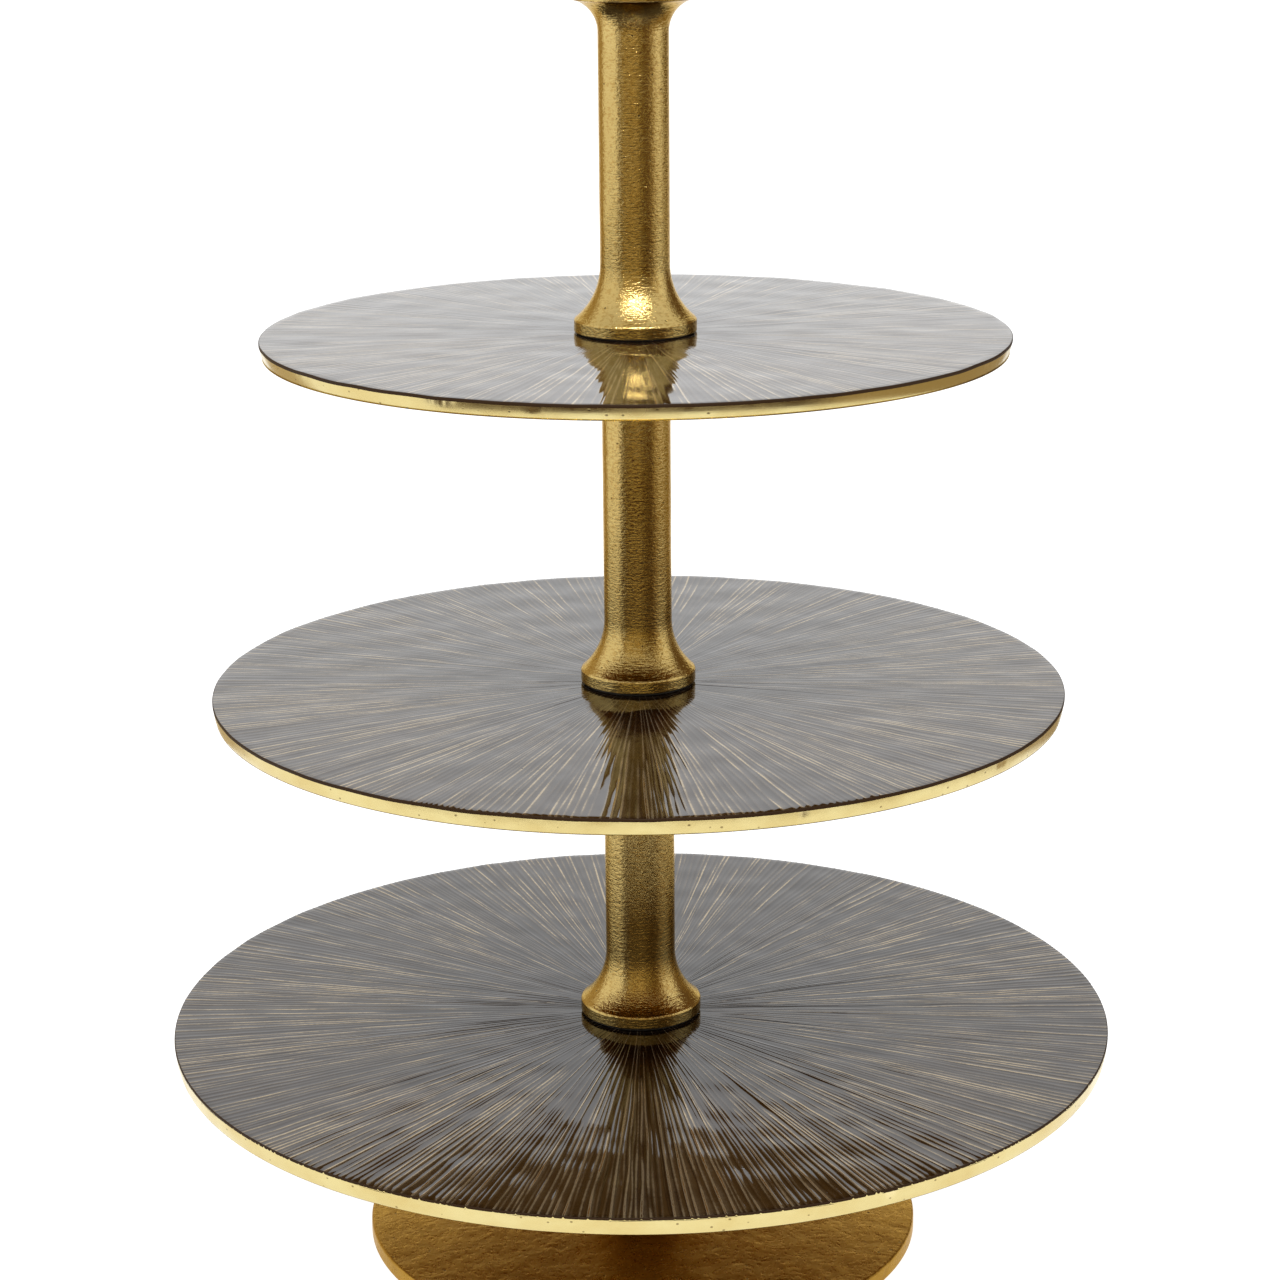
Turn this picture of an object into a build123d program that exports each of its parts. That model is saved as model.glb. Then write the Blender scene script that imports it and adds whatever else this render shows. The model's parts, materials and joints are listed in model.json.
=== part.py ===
"""A four-tier cake stand: round cast trays stacked on turned posts, over a heavy cast foot.

The stand screws together along one axis. Each post has an M8 stud fixed in its foot. The stud passes
through the tray below it and screws into the head of the next post down. A knob clamps the top tray,
and a bolt from below holds the foot disc to the lowest column.

Frame: millimetres, +Z up, the origin on the floor under the centre of the stand.
"""

import os
from math import sqrt

from build123d import *

os.makedirs("parts", exist_ok=True)

# Trays, from the bottom one up
TRAY_DIAMETERS = (400, 355, 305, 255)
TRAY_THICKNESSES = (7.4, 6.8, 6.2, 6.2)
TIER_PITCH = 148
LOWEST_TRAY_TOP = 101
ENAMEL_THICKNESS = 0.8
ENAMEL_INSET = 0.4
TRAY_EDGE_BREAK = 0.6

# Posts: a straight neck with a flared foot and a flared head. The three between the trays
# were turned by hand, so they differ a little; they are listed from the lowest one up.
COLUMN_NECK_RADIUS = 14.5
COLUMN_FOOT_RADIUS = 25.2
POST_NECK_RADII = (14.8, 14.1, 14.2)
POST_FOOT_RADII = (25.8, 24.0, 25.0)
FOOT_BAND = 5
FOOT_FLARE = 28
HEAD_RADIUS = 25.5
HEAD_BAND = 9
HEAD_FLARE = 13
BAND_EDGE_BREAK = 0.5
GASKET_INSET = 1
GASKET_THICKNESSES = (1.0, 1.0, 0.5)

# M8 threads, drawn as plain cylinders
STUD_RADIUS = 4
THREADED_HOLE_RADIUS = 4.05
CLEARANCE_RADIUS = 5
STUD_END_CHAMFER = 0.8
STUD_GRIP = 16
THREAD_ENGAGEMENT = 12
THREADED_HOLE_DEPTH = 20

# Foot disc, its bolt and its pads
FOOT_DISC_RADIUS = 119
FOOT_RIM_HEIGHT = 7
FOOT_HUB_RADIUS = 28
FOOT_HUB_HEIGHT = 14
FOOT_RIM_ROUND = 1.2
PAD_RADIUS = 9
PAD_THICKNESS = 2
PAD_CIRCLE_RADIUS = 96
PAD_COUNT = 4
BOLT_POCKET_RADIUS = 12.5
BOLT_POCKET_DEPTH = 8
BOLT_HEAD_WIDTH = 13
BOLT_HEAD_HEIGHT = 5.3
WASHER_RADIUS = 11
WASHER_THICKNESS = 1.6

# Knob on the top tray
KNOB_BASE_RADIUS = 18
KNOB_BASE_BAND = 3
KNOB_NECK_RADIUS = 9
KNOB_FLARE = 11
KNOB_BALL_RADIUS = 13
KNOB_THREAD_DEPTH = 16
KNOB_WASHER_RADIUS = 16.5
KNOB_WASHER_THICKNESS = 1.0

# Heights that follow from the sizes above
TRAY_TOPS = [LOWEST_TRAY_TOP + tier * TIER_PITCH for tier in range(len(TRAY_DIAMETERS))]
TRAY_UNDERSIDES = [top - thickness for top, thickness in zip(TRAY_TOPS, TRAY_THICKNESSES)]
FOOT_HUB_TOP = PAD_THICKNESS + FOOT_HUB_HEIGHT
BOLT_SEAT = PAD_THICKNESS + BOLT_POCKET_DEPTH


def finish(piece, name):
    """Label a finished piece and write it to its own file."""
    piece.part.label = name
    export_step(piece.part, f"parts/{name}.step")


def flare_height(flare_radius, inner_radius, outer_radius):
    """Height that a quarter-round flare takes to grow from one radius to another."""
    rest = flare_radius - (outer_radius - inner_radius)
    return sqrt(flare_radius**2 - rest**2)


def make_tray(number, diameter, underside, top):
    """A flat round casting with a hole for the stud; the enamel covers it up to the tray's top."""
    with BuildPart() as tray:
        with BuildSketch(Plane.XY.offset(underside)):
            Circle(diameter / 2)
            Circle(CLEARANCE_RADIUS, mode=Mode.SUBTRACT)
        extrude(amount=top - ENAMEL_THICKNESS - underside)
        lower_edges = tray.edges().filter_by(GeomType.CIRCLE).group_by(Axis.Z)[0]
        fillet(lower_edges.sort_by(SortBy.RADIUS)[-1], TRAY_EDGE_BREAK)
    finish(tray, f"tray_{number}")


def make_enamel(number, diameter, top):
    """The enamel poured over a tray's top face, just short of its rim."""
    with BuildPart() as enamel:
        with BuildSketch(Plane.XY.offset(top - ENAMEL_THICKNESS)):
            Circle(diameter / 2 - ENAMEL_INSET)
            Circle(CLEARANCE_RADIUS, mode=Mode.SUBTRACT)
        extrude(amount=ENAMEL_THICKNESS)
    finish(enamel, f"enamel_{number}")


def make_post(name, bottom, top, neck_radius, foot_radius):
    """A turned post from a foot to a head, with a fixed-stud hole below and a threaded hole above."""
    foot_flare_bottom = bottom + FOOT_BAND
    foot_flare_top = foot_flare_bottom + flare_height(FOOT_FLARE, neck_radius, foot_radius)
    head_flare_top = top - HEAD_BAND
    head_flare_bottom = head_flare_top - flare_height(HEAD_FLARE, neck_radius, HEAD_RADIUS)
    with BuildPart() as post:
        with BuildSketch(Plane.XZ):
            with BuildLine():
                Polyline((0, bottom), (foot_radius, bottom), (foot_radius, foot_flare_bottom))
                RadiusArc((foot_radius, foot_flare_bottom), (neck_radius, foot_flare_top), FOOT_FLARE)
                Line((neck_radius, foot_flare_top), (neck_radius, head_flare_bottom))
                RadiusArc((neck_radius, head_flare_bottom), (HEAD_RADIUS, head_flare_top), HEAD_FLARE)
                Polyline((HEAD_RADIUS, head_flare_top), (HEAD_RADIUS, top), (0, top), (0, bottom))
            make_face()
        revolve(axis=Axis.Z)
        rims = post.edges().filter_by(GeomType.CIRCLE).group_by(Axis.Z)
        chamfer(rims[0] + rims[-1], BAND_EDGE_BREAK)
        with BuildSketch(Plane.XY.offset(bottom)):
            Circle(STUD_RADIUS)
        extrude(amount=STUD_GRIP, mode=Mode.SUBTRACT)
        with BuildSketch(Plane.XY.offset(top)):
            Circle(THREADED_HOLE_RADIUS)
        extrude(amount=-THREADED_HOLE_DEPTH, mode=Mode.SUBTRACT)
    finish(post, name)


def make_stud(name, bottom, top):
    """A length of M8 stud with chamfered ends."""
    with BuildPart() as stud:
        with BuildSketch(Plane.XY.offset(bottom)):
            Circle(STUD_RADIUS)
        extrude(amount=top - bottom)
        chamfer(stud.edges().filter_by(GeomType.CIRCLE), STUD_END_CHAMFER)
    finish(stud, name)


def make_washer(name, outer_radius, inner_radius, bottom, thickness):
    """A flat ring."""
    with BuildPart() as washer:
        with BuildSketch(Plane.XY.offset(bottom)):
            Circle(outer_radius)
            Circle(inner_radius, mode=Mode.SUBTRACT)
        extrude(amount=thickness)
    finish(washer, name)


def make_foot_disc():
    """The heavy base: a shallow cone with an upright rim, and a pocket below for the bolt's head."""
    rim_top = PAD_THICKNESS + FOOT_RIM_HEIGHT
    with BuildPart() as disc:
        with BuildSketch(Plane.XZ):
            with BuildLine():
                Polyline(
                    (0, PAD_THICKNESS),
                    (FOOT_DISC_RADIUS, PAD_THICKNESS),
                    (FOOT_DISC_RADIUS, rim_top),
                    (FOOT_HUB_RADIUS, FOOT_HUB_TOP),
                    (0, FOOT_HUB_TOP),
                    close=True,
                )
            make_face()
        revolve(axis=Axis.Z)
        outer_edges = disc.edges().filter_by(GeomType.CIRCLE).sort_by(SortBy.RADIUS)[-2:]
        fillet(outer_edges, FOOT_RIM_ROUND)
        with Locations(Plane.XY.offset(FOOT_HUB_TOP)):
            Hole(CLEARANCE_RADIUS)
        with BuildSketch(Plane.XY.offset(PAD_THICKNESS)):
            Circle(BOLT_POCKET_RADIUS)
        extrude(amount=BOLT_POCKET_DEPTH, mode=Mode.SUBTRACT)
    finish(disc, "foot_disc")


def make_foot_pads():
    """Four round rubber pads, stuck under the foot disc near its rim."""
    with BuildPart() as pads:
        with BuildSketch(Plane.XY):
            with PolarLocations(PAD_CIRCLE_RADIUS, PAD_COUNT, start_angle=180 / PAD_COUNT):
                Circle(PAD_RADIUS)
        extrude(amount=PAD_THICKNESS)
    finish(pads, "foot_pads")


def make_base_bolt():
    """A hexagon bolt, head down in the foot disc's pocket, its shank fixed in the column."""
    head_top = BOLT_SEAT - WASHER_THICKNESS
    with BuildPart() as bolt:
        with BuildSketch(Plane.XY.offset(head_top - BOLT_HEAD_HEIGHT)):
            RegularPolygon(BOLT_HEAD_WIDTH / 2, side_count=6, major_radius=False)
        extrude(amount=BOLT_HEAD_HEIGHT)
        with BuildSketch(Plane.XY.offset(head_top)):
            Circle(STUD_RADIUS)
        extrude(amount=FOOT_HUB_TOP + STUD_GRIP - head_top)
    finish(bolt, "base_bolt")


def make_knob(bottom):
    """The top knob: a flared base, a short neck and a ball to hold while it is screwed down."""
    flare_bottom = bottom + KNOB_BASE_BAND
    flare_top = flare_bottom + flare_height(KNOB_FLARE, KNOB_NECK_RADIUS, KNOB_BASE_RADIUS)
    below_centre = sqrt(KNOB_BALL_RADIUS**2 - KNOB_NECK_RADIUS**2)
    ball_centre = flare_top + below_centre
    with BuildPart() as knob:
        with BuildSketch(Plane.XZ):
            with BuildLine():
                Polyline((0, bottom), (KNOB_BASE_RADIUS, bottom), (KNOB_BASE_RADIUS, flare_bottom))
                RadiusArc((KNOB_BASE_RADIUS, flare_bottom), (KNOB_NECK_RADIUS, flare_top), KNOB_FLARE)
                ThreePointArc(
                    (KNOB_NECK_RADIUS, flare_top),
                    (KNOB_BALL_RADIUS, ball_centre),
                    (0, ball_centre + KNOB_BALL_RADIUS),
                )
                Line((0, ball_centre + KNOB_BALL_RADIUS), (0, bottom))
            make_face()
        revolve(axis=Axis.Z)
        chamfer(knob.edges().filter_by(GeomType.CIRCLE).group_by(Axis.Z)[0], BAND_EDGE_BREAK)
        with BuildSketch(Plane.XY.offset(bottom)):
            Circle(STUD_RADIUS)
        extrude(amount=KNOB_THREAD_DEPTH, mode=Mode.SUBTRACT)
    finish(knob, "finial")


def make_trays():
    """Every tray with its enamel."""
    sizes = zip(TRAY_DIAMETERS, TRAY_UNDERSIDES, TRAY_TOPS)
    for number, (diameter, underside, top) in enumerate(sizes, start=1):
        make_tray(number, diameter, underside, top)
        make_enamel(number, diameter, top)


def make_posts():
    """The three posts between the trays, each with its gasket and its stud."""
    sizes = zip(POST_NECK_RADII, POST_FOOT_RADII, GASKET_THICKNESSES)
    for tier, (neck_radius, foot_radius, gasket) in enumerate(sizes):
        number = tier + 1
        tray_top = TRAY_TOPS[tier]
        post_bottom = tray_top + gasket
        gasket_radius = foot_radius - GASKET_INSET
        make_washer(f"gasket_{number}", gasket_radius, CLEARANCE_RADIUS, tray_top, gasket)
        make_post(f"post_{number}", post_bottom, TRAY_UNDERSIDES[tier + 1], neck_radius, foot_radius)
        stud_bottom = TRAY_UNDERSIDES[tier] - THREAD_ENGAGEMENT
        make_stud(f"stud_{number}", stud_bottom, post_bottom + STUD_GRIP)


def make_base():
    """The foot disc with its pads, bolt and washer, and the column that it carries."""
    make_foot_disc()
    make_foot_pads()
    make_washer(
        "base_washer", WASHER_RADIUS, CLEARANCE_RADIUS, BOLT_SEAT - WASHER_THICKNESS, WASHER_THICKNESS
    )
    make_base_bolt()
    make_post("column", FOOT_HUB_TOP, TRAY_UNDERSIDES[0], COLUMN_NECK_RADIUS, COLUMN_FOOT_RADIUS)


def make_finial():
    """The knob, its washer and its stud, on the top tray."""
    tray_top = TRAY_TOPS[-1]
    knob_bottom = tray_top + KNOB_WASHER_THICKNESS
    stud_bottom = TRAY_UNDERSIDES[-1] - THREAD_ENGAGEMENT
    make_washer(
        "finial_washer", KNOB_WASHER_RADIUS, CLEARANCE_RADIUS, tray_top, KNOB_WASHER_THICKNESS
    )
    make_knob(knob_bottom)
    make_stud("finial_stud", stud_bottom, knob_bottom + KNOB_THREAD_DEPTH)


make_base()
make_trays()
make_posts()
make_finial()
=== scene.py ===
"""Looks of the four-tier cake stand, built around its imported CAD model.

Ribbed enamel over hand-finished gold castings, turned gold posts, a rough-cast foot, rubber gaskets and
threaded steel studs. Lengths are in metres, and +Z is up. The viewer stands on the -Y side.
"""

import json
import math

import bpy
import numpy as np
from mathutils import Matrix, Vector


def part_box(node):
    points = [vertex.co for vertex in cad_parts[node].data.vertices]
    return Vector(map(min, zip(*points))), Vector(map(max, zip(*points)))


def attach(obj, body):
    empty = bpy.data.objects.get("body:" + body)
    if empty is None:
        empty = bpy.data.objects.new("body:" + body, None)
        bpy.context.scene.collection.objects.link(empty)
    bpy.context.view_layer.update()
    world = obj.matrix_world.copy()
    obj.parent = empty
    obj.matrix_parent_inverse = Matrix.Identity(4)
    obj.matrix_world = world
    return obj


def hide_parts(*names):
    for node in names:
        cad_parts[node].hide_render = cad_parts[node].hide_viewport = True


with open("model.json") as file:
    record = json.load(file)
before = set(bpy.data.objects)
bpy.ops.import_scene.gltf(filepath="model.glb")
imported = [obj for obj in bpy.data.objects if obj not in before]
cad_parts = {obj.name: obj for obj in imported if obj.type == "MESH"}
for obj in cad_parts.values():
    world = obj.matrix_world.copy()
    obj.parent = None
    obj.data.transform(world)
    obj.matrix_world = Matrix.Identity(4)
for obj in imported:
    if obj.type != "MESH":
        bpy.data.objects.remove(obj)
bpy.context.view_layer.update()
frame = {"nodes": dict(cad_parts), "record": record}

MM = 0.001
TURN = 2 * math.pi
RECORD = frame["record"]
BODY_OF = {node: body for body, nodes in RECORD["behaviour"]["bodies"].items() for node in nodes}
TRAY_NUMBERS = (1, 2, 3, 4)
POST_NUMBERS = (1, 2, 3)

# Ribs in the enamel: each generation doubles the number, so the pitch stays nearly even. The shares are
# of a rib's height, its gold line and its thin enamel, at the mesh columns before, on and after its crest
RIB_GENERATIONS = 3
RIB_PITCH_AT_RIM = 2.9 * MM
RIB_HEIGHTS = {1: 0.15 * MM, 2: 0.09 * MM, 3: 0.06 * MM, 4: 0.06 * MM}
RIB_HALF_WIDTH = 0.6 * MM
RIB_FADE_IN = 9 * MM
RIB_WAVE_LENGTHS = (5 * MM, 14 * MM, 37 * MM)
HEIGHT_SHARES = (0.0, 1.0, 0.1)
LINE_SHARES = (0.0, 1.0, 0.1)
THIN_SHARES = (0.1, 1.0, 0.3)
ENAMEL_RING_STEP = 2.9 * MM
RIPPLE_HEIGHT = 0.12 * MM
RIPPLE_LENGTHS = (8 * MM, 34 * MM)
RIPPLE_COUNT = 16

# Trays' holes and edges. The brink is the inset and the drop of each ring that rounds the enamel over.
# Teeth grow over the top of the band, from this share of its height, up where a rib's line is stronger
# than the middle one and down where it is weaker. A flaw is its bearing in degrees, -90 towards the
# viewer, and its length in mm
TRAY_HOLE_RADIUS = 5 * MM
EDGE_BOW_RADII = {1: 34 * MM, 2: 34 * MM, 3: 18 * MM, 4: 34 * MM}
EDGE_TILT_TOPS = {1: math.radians(-3), 2: math.radians(-5), 3: math.radians(-7), 4: math.radians(-3)}
TOOTH_HEIGHT = 0.8 * MM
TOOTH_MIDDLE_LINE = 0.4
TOOTH_START = 0.8
ENAMEL_SKIRT_INSET = 0.12 * MM
ENAMEL_SKIRT_DROP = 0.5 * MM
ENAMEL_BRINK_WIDTH = 0.5 * MM
ENAMEL_BRINK = ((0.2 * MM, 0.06 * MM), (0.0, 0.25 * MM))
EDGE_CORNER_HEIGHT = 0.3 * MM
EDGE_CORNER_WIDTH = 0.35 * MM
EDGE_STEPS = 8
CASTING_LIP = 1.2 * MM
EDGE_WAVE = 0.07 * MM
EDGE_FLAW_DEPTH = 0.35 * MM
EDGE_FLAWS = {1: ((-62, 5),), 2: ((-70, 4), (-38, 7)), 3: ((-118, 12), (-104, 4), (-27, 6)), 4: ((40, 6),)}

# Turned parts. Profiles stop just short of the axis
AXIS_GAP = 0.05 * MM
NECK_RADII = {"column": 14.5 * MM, "post_1": 14.8 * MM, "post_2": 14.1 * MM, "post_3": 14.2 * MM}
FOOT_RADII = {"column": 25.2 * MM, "post_1": 25.8 * MM, "post_2": 24.0 * MM, "post_3": 25.0 * MM}
FOOT_BAND = 5 * MM
FOOT_FLARE = 28 * MM
HEAD_RADIUS = 25.5 * MM
HEAD_BAND = 9 * MM
HEAD_FLARE = 13 * MM
EDGE_ROUND = 0.45 * MM
BAND_SHOULDER_WIDTH = 0.12 * MM
BAND_SHOULDER_HEIGHT = 0.14 * MM
THREAD_RADIUS = 4 * MM
THREAD_PITCH = 1.25 * MM
THREAD_DEPTH = 0.6 * MM
STUD_GRIP = 16 * MM
HEAD_HOLE_RADIUS = 4.05 * MM
HEAD_HOLE_DEPTH = 20 * MM
KNOB_BAND = 3 * MM
KNOB_NECK = 9 * MM
KNOB_FLARE = 11 * MM
KNOB_BALL = 13 * MM
TURNED_SEGMENTS = 128
TURNED_WAVES = 10
STUD_SEGMENTS = 36
STUD_CHAMFER = 0.8 * MM

# Foot disc
FOOT_RIM_HEIGHT = 7 * MM
FOOT_RIM_ROUND = 1.2 * MM
FOOT_HUB_RADIUS = 26 * MM
FOOT_SKIN_START = 29 * MM
FOOT_SEGMENTS = 420
WRINKLE_COUNT = 40
WRINKLE_HEIGHT = 0.16 * MM
WRINKLE_LIMIT = 0.4 * MM
BOLT_POCKET_RADIUS = 12.5 * MM
BOLT_POCKET_DEPTH = 8 * MM

# Camera and studio
CAMERA_DISTANCE = 1.2196
CAMERA_HEIGHT_OVER_TRAY = 0.5078
CAMERA_SIDE = 0.0008
CAMERA_PITCH = math.radians(15.67)
CAMERA_LENS = 85.2
CAMERA_SENSOR = 36
CAMERA_ROLL = math.radians(0.45)
SURROUND = 1.27
OVERHEAD = 1.0
SURROUND_TOP = math.radians(28)
OVERHEAD_START = math.radians(60)
KEY_LAMP_PLACE = (0.0, -1.25, 1.95)
KEY_LAMP_SIZE = (1.9, 0.13)
KEY_LAMP_POWER = 30
FLOOR_REACH = 12.0

# Reflector cards round the stand: name, bearings of both sides in degrees (0 towards the viewer,
# 90 to the viewer's right), distance, bottom and top in metres, colour
CARDS = (
    ("low_front_card", -58, 58, 1.06, 0.0, 0.22, (0.075, 0.035, 0.006)),
    ("low_right_card", 58, 150, 1.06, 0.0, 0.22, (0.42, 0.31, 0.17)),
    ("front_card", -50, 31, 1.12, 0.22, 0.95, (0.20, 0.14, 0.055)),
    ("front_window_1", -37, -20, 1.10, 0.22, 0.95, (0.80, 0.65, 0.38)),
    ("front_window_2", -6, 8, 1.10, 0.22, 0.95, (0.85, 0.69, 0.40)),
    ("front_right_card", 31, 57, 1.10, 0.22, 0.95, (0.18, 0.105, 0.03)),
    ("right_card", 57, 72, 1.10, 0.22, 0.95, (0.62, 0.48, 0.29)),
    ("back_right_card", 106, 150, 1.60, 0.22, 1.6, (0.20, 0.13, 0.07)),
    ("back_left_card", -150, -118, 1.60, 0.0, 1.6, (0.62, 0.48, 0.28)),
    ("low_slat_1", -30, 50, 1.04, 0.04, 0.06, (0.34, 0.23, 0.08)),
    ("low_slat_2", -30, 50, 1.04, 0.12, 0.14, (0.34, 0.23, 0.08)),
    ("slat_1", -20, 31, 1.08, 0.20, 0.26, (1.05, 0.84, 0.47)),
    ("slat_2", -20, 31, 1.08, 0.31, 0.37, (1.05, 0.84, 0.47)),
)
# Cards lying on the floor in front of the low upright ones, from this radius outwards
LOW_CARD_REACH = 0.62


# ---------------------------------------------------------------- meshes

def make_object(name, vertices, faces, material, sharp_angle=35):
    """A mesh object, smooth shaded except at edges sharper than the given angle."""
    mesh = bpy.data.meshes.new(name)
    mesh.from_pydata([tuple(v) for v in vertices], [], faces)
    mesh.update()
    mesh.shade_smooth()
    mesh.set_sharp_from_angle(angle=math.radians(sharp_angle))
    mesh.materials.append(material)
    piece = bpy.data.objects.new(name, mesh)
    bpy.context.scene.collection.objects.link(piece)
    return piece


def stand_for(piece, node):
    """Hang a made piece on the body of a CAD node, and hide that node."""
    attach(piece, BODY_OF[node])
    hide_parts(node)


def ring_faces(ring_count, columns, closed=False):
    """Quads between successive rings of a grid that goes all the way round."""
    faces = []
    for ring in range(ring_count if closed else ring_count - 1):
        low = ring * columns
        high = (ring + 1) % ring_count * columns
        for column in range(columns):
            following = (column + 1) % columns
            faces.append((low + column, low + following, high + following, high + column))
    return faces


def end_faces(ring_count, columns):
    """The two faces that close the first and the last ring."""
    last = (ring_count - 1) * columns
    return [tuple(range(columns))[::-1], tuple(range(last, last + columns))]


def arc(centre, radius, start, end, steps):
    """Points along a circular arc in the (radius, height) half-plane, angles in degrees."""
    angles = np.radians(np.linspace(start, end, steps + 1))
    return [(centre[0] + radius * math.cos(a), centre[1] + radius * math.sin(a)) for a in angles]


def with_supports(profile, margin=0.12 * MM, step=6 * MM):
    """Add points near the ends of long straight runs, and along them, so that they shade flat."""
    result = [profile[0]]
    for start, end in zip(profile, profile[1:]):
        run = math.dist(start, end)
        if run > 5 * margin:
            along = [margin, *np.arange(step, run - step / 2, step), run - margin]
            for distance in along:
                t = distance / run
                result.append((start[0] + t * (end[0] - start[0]), start[1] + t * (end[1] - start[1])))
        result.append(end)
    return result


def lathe(name, profile, material, wobble=0.0, closed=False, seed=0):
    """Turn a (radius, height) profile about the Z axis, with a slight hand-made waviness."""
    profile = np.array(profile)
    angles = np.linspace(0, TURN, TURNED_SEGMENTS, endpoint=False)
    radii = np.repeat(profile[:, 0][:, None], TURNED_SEGMENTS, axis=1)
    heights = np.repeat(profile[:, 1][:, None], TURNED_SEGMENTS, axis=1)
    if wobble:
        rng = np.random.default_rng(seed)
        offset = np.zeros_like(radii)
        for _ in range(TURNED_WAVES):
            lobes = rng.integers(1, 9)
            waves = rng.uniform(40, 320)
            phase = rng.uniform(0, TURN)
            offset += np.sin(lobes * angles[None, :] + waves * heights + phase)
        radii = radii + wobble * offset / TURNED_WAVES * (radii > 6 * MM)
    vertices = np.stack([radii * np.cos(angles), radii * np.sin(angles), heights], axis=2)
    faces = ring_faces(len(profile), TURNED_SEGMENTS, closed)
    if not closed:
        faces += end_faces(len(profile), TURNED_SEGMENTS)
    return make_object(name, vertices.reshape(-1, 3), faces, material)


# ---------------------------------------------------------------- material helpers

class Nodes:
    """A small helper that builds one material's node tree."""

    def __init__(self, name):
        self.material = bpy.data.materials.new(name)
        self.material.use_nodes = True
        self.tree = self.material.node_tree
        self.shader = self.tree.nodes["Principled BSDF"]
        self.coordinates = self.add("ShaderNodeTexCoord").outputs["Object"]

    def add(self, kind, **settings):
        node = self.tree.nodes.new(kind)
        for key, value in settings.items():
            setattr(node, key, value)
        return node

    def link(self, source, target):
        """Drive a socket by a node's output, or set it to a number or a colour."""
        if isinstance(source, (int, float)):
            target.default_value = source
        elif isinstance(source, tuple):
            target.default_value = source if len(source) == len(target.default_value) else (*source, 1)
        else:
            self.tree.links.new(source, target)

    def scaled(self, x, y, z):
        """Object coordinates, scaled per axis (cells per metre)."""
        node = self.add("ShaderNodeVectorMath", operation="MULTIPLY")
        self.link(self.coordinates, node.inputs[0])
        node.inputs[1].default_value = (x, y, z)
        return node.outputs[0]

    def noise(self, vector, detail=3.0, roughness=0.55, distortion=0.0):
        """Cloudy noise, one cell to each unit of the coordinates."""
        node = self.add("ShaderNodeTexNoise")
        self.link(vector, node.inputs["Vector"])
        node.inputs["Scale"].default_value = 1.0
        node.inputs["Detail"].default_value = detail
        node.inputs["Roughness"].default_value = roughness
        node.inputs["Distortion"].default_value = distortion
        return node.outputs["Fac"]

    def spots(self, vector, size):
        """1 inside sparse round spots, 0 outside; size is the spots' radius in cells."""
        node = self.add("ShaderNodeTexVoronoi", feature="F1")
        self.link(vector, node.inputs["Vector"])
        node.inputs["Scale"].default_value = 1.0
        return self.ramp(node.outputs["Distance"], size * 0.6, size, 1.0, 0.0)

    def ramp(self, source, low, high, out_low=0.0, out_high=1.0):
        """Map low..high to out_low..out_high, and hold the ends."""
        node = self.add("ShaderNodeMapRange", clamp=True)
        self.link(source, node.inputs["Value"])
        node.inputs["From Min"].default_value = low
        node.inputs["From Max"].default_value = high
        node.inputs["To Min"].default_value = out_low
        node.inputs["To Max"].default_value = out_high
        return node.outputs["Result"]

    def math(self, operation, first, second=0.0):
        node = self.add("ShaderNodeMath", operation=operation)
        self.link(first, node.inputs[0])
        self.link(second, node.inputs[1])
        return node.outputs[0]

    def mix(self, factor, first, second):
        """Blend two colours: the first at 0, the second at 1."""
        node = self.add("ShaderNodeMix", data_type="RGBA")
        self.link(factor, node.inputs[0])
        self.link(first, node.inputs[6])
        self.link(second, node.inputs[7])
        return node.outputs[2]

    def attribute(self, name):
        """The three values that add_mask stored under a name."""
        node = self.add("ShaderNodeAttribute", attribute_name=name)
        parts = self.add("ShaderNodeSeparateColor")
        self.link(node.outputs["Color"], parts.inputs[0])
        return parts.outputs

    def bump(self, height, strength, distance):
        node = self.add("ShaderNodeBump")
        node.inputs["Strength"].default_value = strength
        node.inputs["Distance"].default_value = distance
        self.link(height, node.inputs["Height"])
        return node.outputs[0]

    def finish(self, color, roughness, normal, metallic=0.0, **sockets):
        """Wire the shader up and return the material; other sockets are set by name."""
        self.link(color, self.shader.inputs["Base Color"])
        self.link(roughness, self.shader.inputs["Roughness"])
        self.shader.inputs["Metallic"].default_value = metallic
        self.link(normal, self.shader.inputs["Normal"])
        for socket, value in sockets.items():
            self.shader.inputs[socket.replace("_", " ")].default_value = value
        return self.material


# ---------------------------------------------------------------- materials

def make_turned_gold():
    """Antique gold on a turned casting: fine rings from the lathe, mottling, pits and brown lows."""
    n = Nodes("turned_gold")
    rings = n.noise(n.scaled(130, 130, 2400), detail=4, roughness=0.6)
    mottle = n.noise(n.scaled(560, 560, 1000), detail=2, roughness=0.6, distortion=0.3)
    patches = n.noise(n.scaled(45, 45, 30), detail=3)
    pits = n.spots(n.scaled(150, 150, 220), 0.09)
    color = n.mix(n.ramp(patches, 0.35, 0.7), (0.47, 0.335, 0.115), (0.53, 0.39, 0.145))
    color = n.mix(n.ramp(mottle, 0.5, 0.65, 0.0, 0.45), color, (0.32, 0.17, 0.03))
    color = n.mix(n.math("MULTIPLY", pits, 0.6), color, (0.12, 0.06, 0.015))
    roughness = n.ramp(mottle, 0.3, 0.7, 0.07, 0.15)
    height = n.math("ADD", n.math("MULTIPLY", rings, 0.7), n.math("MULTIPLY", mottle, 1.2))
    height = n.math("SUBTRACT", height, n.math("MULTIPLY", pits, 1.0))
    normal = n.bump(height, 0.8, 0.24 * MM)
    return n.finish(color, roughness, normal, metallic=1.0, Specular_Tint=(0.80, 0.68, 0.48, 1))


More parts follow.
